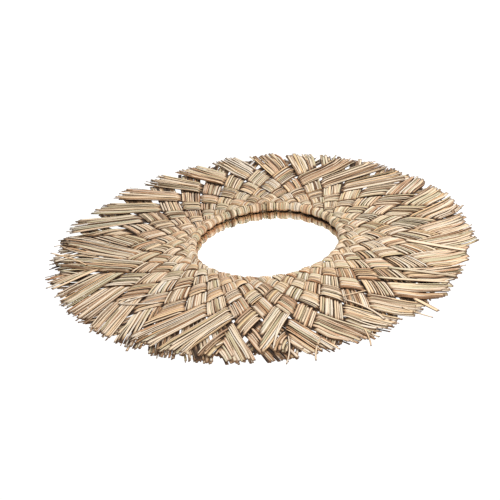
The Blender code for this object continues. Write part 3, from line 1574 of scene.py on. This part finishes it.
    def all_strands(self) -> list[Strands]:
        """Draws every straw of the bunch.

        A power of the tints makes some bunches more olive and others more rusty.

        Returns:
            The sets of straws.
        """
        outer = self.blades(self.front_straws, 1.0)
        inner = self.blades(self.back_straws, -1.0)
        back_fill = self.blades(self.back_fillers, -1.0)
        front_fill = self.blades(self.front_fillers, 1.0)
        for fill in (back_fill, front_fill):
            fill.layer = self.rng.uniform(*self.lot.filler_layers, len(fill.own))
        skew = math.exp(self.rng.normal(0.0, self.lot.tint_skew_spread))
        for blades in (outer, inner, back_fill, front_fill):
            blades.tint = blades.tint**skew
        return [
            self.folded(outer),
            self.folded(inner),
            self.filler(back_fill, Leg.CLOCKWISE, self.back_fill_from),
            self.filler(front_fill, Leg.ANTICLOCKWISE, self.front_fill_from),
        ]


@dataclass(frozen=True)
class StrawMesh:
    """Turns straws into closed flat tubes.

    The profile is given by its places across and through the straw, each as a share of
    half the width and half the thickness: flat in front with rounded shoulders, sharp at
    both edges and keeled behind. The strip sizes are shares of the texture map.
    """

    profile: tuple[tuple[float, float], ...] = (
        (-1.0, -0.3),
        (-0.55, 0.9),
        (0.5, 1.0),
        (1.0, -0.3),
        (0.0, -1.0),
    )
    map_name: str = "OFBake"
    strip_margin: float = 0.08
    strip_start: float = 0.002
    strip_length: float = 0.99
    cap_size: float = 0.001

    def build(
        self, name: str, sets: list[Strands], material: bpy.types.Material
    ) -> bpy.types.Object:
        """Makes one object of all straws in the sets.

        Every straw also gets a strip of its own on the object's texture map, as long as
        its share of the longest straw.

        Args:
            name: the object's name.
            sets: the straws.
            material: their finish.

        Returns:
            The object, linked to the scene.
        """
        vertices, faces, numbers, places = [], [], [], []
        strips = sum(len(strands.points) for strands in sets)
        longest = max(self.walked(strands)[:, -1].max() for strands in sets)
        offset = strip = 0
        for strands in sets:
            points, quads, caps, values = self.tubes(strands)
            vertices.append(points)
            faces.extend((quads + offset).tolist())
            faces.extend((caps + offset).tolist())
            numbers.append(values)
            places.append(self.strip_map(strands, strip, strips, longest))
            offset += len(points)
            strip += len(strands.points)
        mesh = bpy.data.meshes.new(name)
        mesh.from_pydata(np.concatenate(vertices), [], faces)
        sizes = np.array([len(face) for face in faces])
        mesh.polygons.foreach_set("use_smooth", sizes == 4)
        for key in numbers[0]:
            layer = mesh.attributes.new(key, "FLOAT", "POINT")
            layer.data.foreach_set("value", np.concatenate([value[key] for value in numbers]))
        texture_map = mesh.uv_layers.new(name=self.map_name)
        texture_map.data.foreach_set("uv", np.concatenate(places).astype(np.float32).reshape(-1))
        mesh.materials.append(material)
        mesh.update()
        straws = bpy.data.objects.new(name, mesh)
        bpy.context.scene.collection.objects.link(straws)
        return straws

    def walked(self, strands: Strands) -> np.ndarray:
        """How far every point is along its straw's middle line, in metres."""
        step = np.linalg.norm(np.diff(strands.points, axis=1), axis=-1)
        return np.concatenate([np.zeros((len(step), 1)), np.cumsum(step, axis=1)], axis=1)

    def strip_map(
        self, strands: Strands, strip: int, strips: int, longest: float
    ) -> np.ndarray:
        """Lays every straw's tube flat in its own strip of the texture map.

        A face's place along the strip is its distance along the straw over the longest
        straw's length, its place across is its corner's number round the profile. Both end
        faces lie small in the strip's margin.

        Args:
            strands: the straws.
            strip: the first straw's strip.
            strips: how many strips the map has.
            longest: the longest straw's length.

        Returns:
            A place on the map for every corner of every face, in the faces' order.
        """
        corners = len(self.profile)
        walked = self.strip_start + self.strip_length * self.walked(strands) / longest
        count, steps = walked.shape
        row = (strip + np.arange(count)) / strips
        round_profile = np.arange(corners + 1) / corners
        share = self.strip_margin + (1.0 - 2.0 * self.strip_margin) * round_profile
        across = row[:, None, None] + share[None, None, :] / strips
        shape = (count, steps - 1, corners)
        low = np.broadcast_to(across[..., :-1], shape)
        high = np.broadcast_to(across[..., 1:], shape)
        near = np.broadcast_to(walked[:, :-1, None], shape)
        far = np.broadcast_to(walked[:, 1:, None], shape)
        quads = np.stack([near, low, near, high, far, high, far, low], axis=-1).reshape(-1, 2)
        turn = math.tau * np.arange(corners) / corners
        tiny = self.cap_size * np.stack([np.cos(turn), np.sin(turn)], axis=-1)
        middle = row + 0.5 / strips
        first = np.stack([np.full(count, self.cap_size), middle], axis=-1)
        last = np.stack([walked[:, -1] + self.strip_start, middle], axis=-1)
        caps = np.concatenate([first, last])[:, None] + tiny[None]
        return np.concatenate([quads, caps.reshape(-1, 2)])

    def tubes(
        self, strands: Strands
    ) -> tuple[np.ndarray, np.ndarray, np.ndarray, dict[str, np.ndarray]]:
        """Carries the profile along every straw of a set.

        A point of the tube is the middle line plus the profile's place across times the
        width direction, plus its place through times the straw's own normal.

        Args:
            strands: the straws.

        Returns:
            The points, the side faces, the end faces and the numbers for the finish.
        """
        count, steps = strands.points.shape[:2]
        corners = len(self.profile)
        across = np.array([place[0] for place in self.profile])
        through = np.array([place[1] for place in self.profile])
        along = unit(np.gradient(strands.points, axis=1))
        normal = unit(np.cross(along, strands.sideways))
        half_width = (strands.width / 2)[..., None, None]
        half_thick = (strands.thick / 2)[..., None, None]
        points = (
            strands.points[:, :, None]
            + strands.sideways[:, :, None] * half_width * across[:, None]
            + normal[:, :, None] * half_thick * through[:, None]
        )
        grid = np.arange(count * steps * corners).reshape(count, steps, corners)
        after = np.roll(grid, -1, axis=2)
        quads = np.stack([grid[:, :-1], after[:, :-1], after[:, 1:], grid[:, 1:]], axis=-1)
        caps = np.concatenate([grid[:, 0, ::-1], grid[:, -1]])
        walked = self.walked(strands)
        first, last = strands.cut_ends
        cut = np.minimum(walked if first else np.inf, walked[:, -1:] - walked if last else np.inf)
        values = {
            "along": walked[..., None],
            "across": across,
            "tone": strands.tone[:, None, None],
            "tint": strands.tint[:, None, None],
            # Shares of painted shade inside the frame and on the rim's underside.
            "inner_shade": strands.inner_shade[..., None],
            "tan": strands.tan[..., None],
            "cut": cut[..., None],
        }
        flat = {
            key: np.broadcast_to(value, grid.shape).reshape(-1).astype(np.float32)
            for key, value in values.items()
        }
        return points.reshape(-1, 3), quads.reshape(-1, 4), caps, flat


@dataclass
class StrawFrame:
    """The frame: a ring of folded straw bunches, each standing for its node of the frame."""

    plait: Plait
    fringe: Fringe
    lot: StrawLot
    mesher: StrawMesh
    finish: StrawFinish
    strays: tuple[Stray, ...] = (
        Stray((170.0, 0.200), (164.7, 0.289), 0.0088, tone=0.58, tint=0.50),
        Stray((146.5, 0.196), (150.4, 0.293), 0.0070, bow=0.01, tone=0.42, tint=0.85),
        Stray((138.0, 0.197), (146.9, 0.290), 0.0068, bow=-0.01, tone=0.50, tint=0.80),
        Stray((117.7, 0.205), (121.1, 0.279), 0.0042, bow=0.07, tone=0.50, tint=0.40),
        Stray((128.1, 0.208), (117.5, 0.198), 0.0026, tone=0.60, tint=0.45),
        Stray((134.6, 0.269), (133.3, 0.317), 0.0070, bow=0.02, tone=0.55, tint=0.45),
        Stray((128.8, 0.272), (130.3, 0.322), 0.0024, tone=0.60, tint=0.45),
        Stray((114.3, 0.277), (111.6, 0.323), 0.0024, bow=0.04, tone=0.40, tint=0.45),
        Stray((101.7, 0.272), (97.9, 0.324), 0.0028, bow=-0.05, tone=0.45, tint=0.20),
        Stray((92.9, 0.255), (91.0, 0.322), 0.0026, bow=0.04, tone=0.50, tint=0.40),
        Stray((95.5, 0.203), (88.1, 0.284), 0.0032, bow=-0.05, tone=0.80, tint=0.50),
        Stray((93.7, 0.201), (88.5, 0.278), 0.0028, bow=-0.04, tone=0.65, tint=0.55),
        Stray((74.4, 0.202), (63.5, 0.295), 0.0032, bow=-0.06, tone=0.80, tint=0.55),
        Stray((72.6, 0.202), (64.5, 0.296), 0.0030, bow=-0.05, tone=0.70, tint=0.60),
        Stray((40.6, 0.207), (29.9, 0.249), 0.0032, bow=0.05, tone=0.80, tint=0.55),
        Stray((29.9, 0.249), (34.3, 0.199), 0.0032, bow=0.03, tone=0.80, tint=0.55),
        Stray((39.4, 0.214), (31.1, 0.242), 0.0028, bow=0.05, tone=0.30, tint=0.65),
        Stray((0.2, 0.262), (351.0, 0.321), 0.0028, bow=-0.05, tone=0.45, tint=0.30),
        Stray((354.6, 0.249), (347.0, 0.311), 0.0030, bow=0.05, tone=0.40, tint=0.20),
    )

    def build(self) -> list[bpy.types.Object]:
        """Makes and dresses all bunches.

        Returns:
            The bunches.
        """
        material = self.finish.make()
        made = []
        for index in range(self.plait.bunches):
            rng = np.random.default_rng([SEED, index])
            bunch = StrawBunch(self.plait, self.fringe, self.lot, index, rng)
            name = f"straws_of_bunch_{index + 1:02d}"
            loose = [stray.strands(self.plait) for stray in self.strays_on(index)]
            straws = self.mesher.build(name, bunch.all_strands() + loose, material)
            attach(straws, "root")
            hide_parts(f"straw_bunch_{index + 1:02d}")
            made.append(straws)
        faces = sum(len(straws.data.polygons) for straws in made)
        log.info("straw frame: %d bunches, %d faces", len(made), faces)
        return made

    def strays_on(self, index: int) -> list[Stray]:
        """The loose straws that belong to a bunch: those whose inner end is nearest to it.

        Args:
            index: the bunch's number.

        Returns:
            The loose straws.
        """
        pitch = math.degrees(self.plait.pitch)
        shift = self.plait.crossings / 2
        return [
            stray
            for stray in self.strays
            if round(stray.first[0] / pitch - shift) % self.plait.bunches == index
        ]


@dataclass
class Plate:
    """A round flat plate of the mirror. Its node has the right shape and gets its finish."""

    finish: SilverFinish | HardboardFinish
    node: str

    def build(self) -> bpy.types.Object:
        """Dresses the node.

        Returns:
            The plate.
        """
        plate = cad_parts[self.node]
        plate.material_slots[0].material = self.finish.make()
        log.info("%s dressed", self.node)
        return plate


@dataclass
class MirrorGlass(Plate):
    """The round mirror glass."""

    finish: SilverFinish
    node: str = "mirror_glass"


@dataclass
class BackingBoard(Plate):
    """The round board behind the glass."""

    finish: HardboardFinish
    node: str = "backing_board"


@dataclass(frozen=True)
class SoftLight:
    """A square soft light that faces the mirror: its place, its side and its watts."""

    name: str
    place: tuple[float, float, float]
    side: float
    power: float

    def build(self) -> None:
        """Adds the light."""
        light = bpy.data.lights.new(self.name, "AREA")
        light.shape = "SQUARE"
        light.size = self.side
        light.energy = self.power
        lamp = bpy.data.objects.new(self.name, light)
        lamp.location = self.place
        lamp.rotation_euler = (-Vector(self.place)).to_track_quat("-Z", "Y").to_euler()
        bpy.context.scene.collection.objects.link(lamp)


@dataclass
class Studio:
    """The floor, the lights and the camera.

    The photograph looks down on the mirror's face from 29 degrees above it, so the camera
    stands in front of and high above the upright mirror, with its up side towards -Y.
    Angles are in degrees, lengths in metres, the focal length in the photograph's pixels.
    """

    floor_level: float = -0.75
    floor_size: float = 16.0
    elevation: float = 28.98
    roll: float = -6.21
    distance: float = 2.859
    sideways: float = 0.0255
    aim_height: float = 0.005
    focal_px: float = 1975.3
    image_px: float = 500.0
    sensor: float = 36.0
    clip_end: float = 100.0
    lights: tuple[SoftLight, ...] = (
        SoftLight("key", (-1.0, -1.6, 0.4), 1.0, 32.0),
        SoftLight("top", (0.0, -0.9, 2.6), 2.2, 37.0),
    )
    sky_color: Color = (1.0, 0.995, 0.985)
    sky: float = 0.375
    seen_sky: float = 1.05

    def build(self) -> None:
        """Makes the floor, the light and the camera."""
        self.add_floor()
        self.add_world()
        for light in self.lights:
            light.build()
        self.add_camera()
        scene = bpy.context.scene
        scene.view_settings.view_transform = "Standard"
        scene.view_settings.look = "None"
        log.info("studio built")

    def add_floor(self) -> None:
        """Adds the plain pale floor."""
        half = self.floor_size / 2
        corners = [(-half, -half), (half, -half), (half, half), (-half, half)]
        mesh = bpy.data.meshes.new("studio_floor")
        mesh.from_pydata([(x, y, self.floor_level) for x, y in corners], [], [(0, 1, 2, 3)])
        mesh.materials.append(FloorFinish().make())
        floor = bpy.data.objects.new("studio_floor", mesh)
        bpy.context.scene.collection.objects.link(floor)

    def add_world(self) -> None:
        """Sets an even sky that looks white and lights the straw less than it looks."""
        world = bpy.data.worlds.new("studio_sky")
        world.use_nodes = True
        nodes = Nodes(world.node_tree)
        background = world.node_tree.nodes["Background"]
        background.inputs["Color"].default_value = (*self.sky_color, 1.0)
        scattered = nodes.add("ShaderNodeLightPath").outputs["Is Diffuse Ray"]
        strength = nodes.span(scattered, 0.0, 1.0, self.seen_sky, self.sky, False)
        nodes.feed(background.inputs["Strength"], strength)
        bpy.context.scene.world = world

    def add_camera(self) -> None:
        """Sets the camera from the photograph's elevation, roll, distance and focal length."""
        elevation, roll = math.radians(self.elevation), math.radians(self.roll)
        level = Vector((-1.0, 0.0, 0.0))
        upright = Vector((0.0, -math.cos(elevation), -math.sin(elevation)))
        look = Vector((0.0, math.sin(elevation), -math.cos(elevation)))
        right = level * math.cos(roll) + upright * math.sin(roll)
        up = upright * math.cos(roll) - level * math.sin(roll)
        aim = Vector((0.0, -self.aim_height, 0.0)) - level * self.sideways
        place = aim - look * self.distance
        data = bpy.data.cameras.new("camera")
        data.sensor_width = self.sensor
        data.lens = self.focal_px * self.sensor / self.image_px
        data.clip_end = self.clip_end
        camera = bpy.data.objects.new("camera", data)
        camera.matrix_world = Matrix(
            (
                (right.x, up.x, -look.x, place.x),
                (right.y, up.y, -look.y, place.y),
                (right.z, up.z, -look.z, place.z),
                (0.0, 0.0, 0.0, 1.0),
            )
        )
        bpy.context.scene.collection.objects.link(camera)
        bpy.context.scene.camera = camera


def main() -> None:
    """Builds the mirror's looks and its studio, piece by piece."""
    logging.basicConfig(level=logging.INFO, format="%(name)s: %(message)s")
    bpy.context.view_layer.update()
    StrawFrame(Plait(), Fringe(), StrawLot(), StrawMesh(), StrawFinish()).build()
    MirrorGlass(SilverFinish()).build()
    BackingBoard(HardboardFinish()).build()
    Studio().build()


if __name__ == "__main__":
    main()
